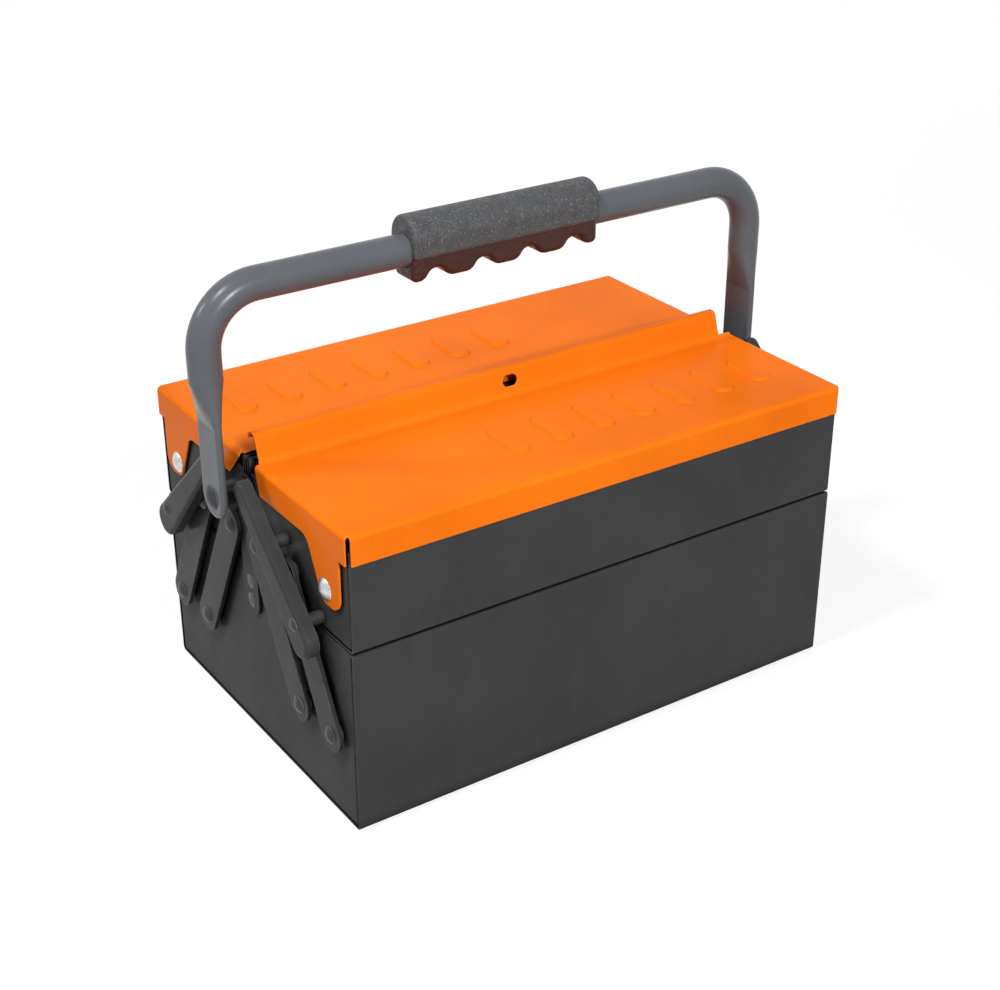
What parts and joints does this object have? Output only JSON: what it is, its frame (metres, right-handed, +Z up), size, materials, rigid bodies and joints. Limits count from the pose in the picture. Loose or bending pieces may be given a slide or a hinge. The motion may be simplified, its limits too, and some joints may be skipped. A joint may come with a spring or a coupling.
{
  "type": "cantilever tool box",
  "caption": "Folded steel tool box with a deep base, trays that swing out level on cantilever links, hinged lids with a padlock ridge and a tilting tube handle with a moulded grip.",
  "frame": {"origin": "centre of the underside, on the surface that the box stands on", "axes": "+X along the length, +Y from the front tray to the rear tray, +Z up"},
  "size_m": [0.375, 0.2192, 0.288],
  "materials": {
    "body_paint": "satin charcoal paint",
    "lid_paint": "glossy orange paint",
    "handle_paint": "satin dark grey paint",
    "arm_paint": "satin black paint",
    "grip_plastic": "textured black plastic",
    "dark_rivets": "painted steel rivets",
    "zinc_rivets": "bright zinc"
  },
  "bodies": {
    "base": {"base_wrap": "body_paint", "base_end_left": "body_paint", "base_end_right": "body_paint", "base_pivot_rivets": "dark_rivets", "handle_post_left": "body_paint", "handle_post_right": "body_paint", "handle_post_rivets": "dark_rivets", "handle_pivot_rivets": "dark_rivets", "handle_pivot_sleeves": "dark_rivets"},
    "link_front_outer": {"link_front_outer_left": "arm_paint", "link_front_outer_right": "arm_paint"},
    "link_front_inner": {"link_front_inner_left": "arm_paint", "link_front_inner_right": "arm_paint"},
    "link_rear_outer": {"link_rear_outer_left": "arm_paint", "link_rear_outer_right": "arm_paint"},
    "link_rear_inner": {"link_rear_inner_left": "arm_paint", "link_rear_inner_right": "arm_paint"},
    "tray_front": {"tray_front_wrap": "body_paint", "tray_front_end_left": "body_paint", "tray_front_end_right": "body_paint", "tray_front_guard_left": "arm_paint", "tray_front_guard_right": "arm_paint", "tray_front_pivot_rivets": "dark_rivets", "tray_front_guard_rivets": "dark_rivets", "tray_front_lid_rivets": "zinc_rivets"},
    "tray_rear": {"tray_rear_wrap": "body_paint", "tray_rear_end_left": "body_paint", "tray_rear_end_right": "body_paint", "tray_rear_guard_left": "arm_paint", "tray_rear_guard_right": "arm_paint", "tray_rear_pivot_rivets": "dark_rivets", "tray_rear_guard_rivets": "dark_rivets", "tray_rear_lid_rivets": "zinc_rivets"},
    "lid_front": {"lid_front": "lid_paint"},
    "lid_rear": {"lid_rear": "lid_paint"},
    "handle": {"handle_tube": "handle_paint", "handle_grip": "grip_plastic"}
  },
  "joints": [
    {"name": "front_tray_swing", "type": "hinge", "parent": "base", "child": "link_front_outer", "pos_m": [0, -0.0895, 0.0523], "axis": [1, 0, 0], "range_deg": [0, 54.5]},
    {"name": "front_inner_link", "type": "hinge", "parent": "base", "child": "link_front_inner", "pos_m": [0, -0.0555, 0.0523], "axis": [1, 0, 0], "range_deg": [0, 54.5]},
    {"name": "front_tray_level", "type": "hinge", "parent": "link_front_outer", "child": "tray_front", "pos_m": [0, -0.049, 0.1297], "axis": [1, 0, 0], "range_deg": [-54.5, 0]},
    {"name": "front_lid_hinge", "type": "hinge", "parent": "tray_front", "child": "lid_front", "pos_m": [0, -0.086, 0.137], "axis": [1, 0, 0], "range_deg": [0, 80]},
    {"name": "rear_tray_swing", "type": "hinge", "parent": "base", "child": "link_rear_outer", "pos_m": [0, 0.0895, 0.0523], "axis": [-1, 0, 0], "range_deg": [0, 54.5]},
    {"name": "rear_inner_link", "type": "hinge", "parent": "base", "child": "link_rear_inner", "pos_m": [0, 0.0555, 0.0523], "axis": [-1, 0, 0], "range_deg": [0, 54.5]},
    {"name": "rear_tray_level", "type": "hinge", "parent": "link_rear_outer", "child": "tray_rear", "pos_m": [0, 0.049, 0.1297], "axis": [-1, 0, 0], "range_deg": [-54.5, 0]},
    {"name": "rear_lid_hinge", "type": "hinge", "parent": "tray_rear", "child": "lid_rear", "pos_m": [0, 0.086, 0.137], "axis": [-1, 0, 0], "range_deg": [0, 80]},
    {"name": "handle_tilt", "type": "hinge", "parent": "base", "child": "handle", "pos_m": [0, 0, 0.157], "axis": [1, 0, 0], "range_deg": [-30, 30]}
  ],
  "couplings": [
    {"joint": "front_inner_link", "follows": "front_tray_swing", "ratio": 1},
    {"joint": "front_tray_level", "follows": "front_tray_swing", "ratio": -1},
    {"joint": "rear_inner_link", "follows": "rear_tray_swing", "ratio": 1},
    {"joint": "rear_tray_level", "follows": "rear_tray_swing", "ratio": -1}
  ]
}
